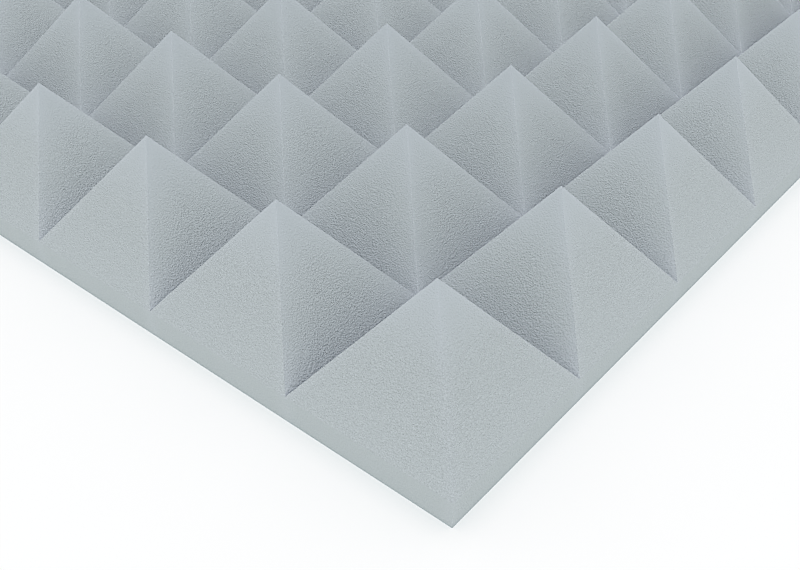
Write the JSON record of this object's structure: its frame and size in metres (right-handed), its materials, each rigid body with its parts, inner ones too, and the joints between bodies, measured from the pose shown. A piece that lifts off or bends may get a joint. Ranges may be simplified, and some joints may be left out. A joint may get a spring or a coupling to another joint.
{
  "type": "acoustic foam panel",
  "caption": "Square slab of light grey open-cell foam with a pyramid front, a self-adhesive back and a split paper liner, for damping echo on studio walls.",
  "frame": {"origin": "centre of the back, on the face the panel rests on", "axes": "+Z out of the back towards the tips, +X and +Y along the sides"},
  "size_m": [0.5, 0.5, 0.0509],
  "materials": {
    "foam": "matte",
    "adhesive": "satin",
    "liner": "satin"
  },
  "bodies": {
    "root": {"foam_panel": "foam", "adhesive_film": "adhesive", "release_liner_left": "liner", "release_liner_right": "liner"}
  },
  "joints": []
}
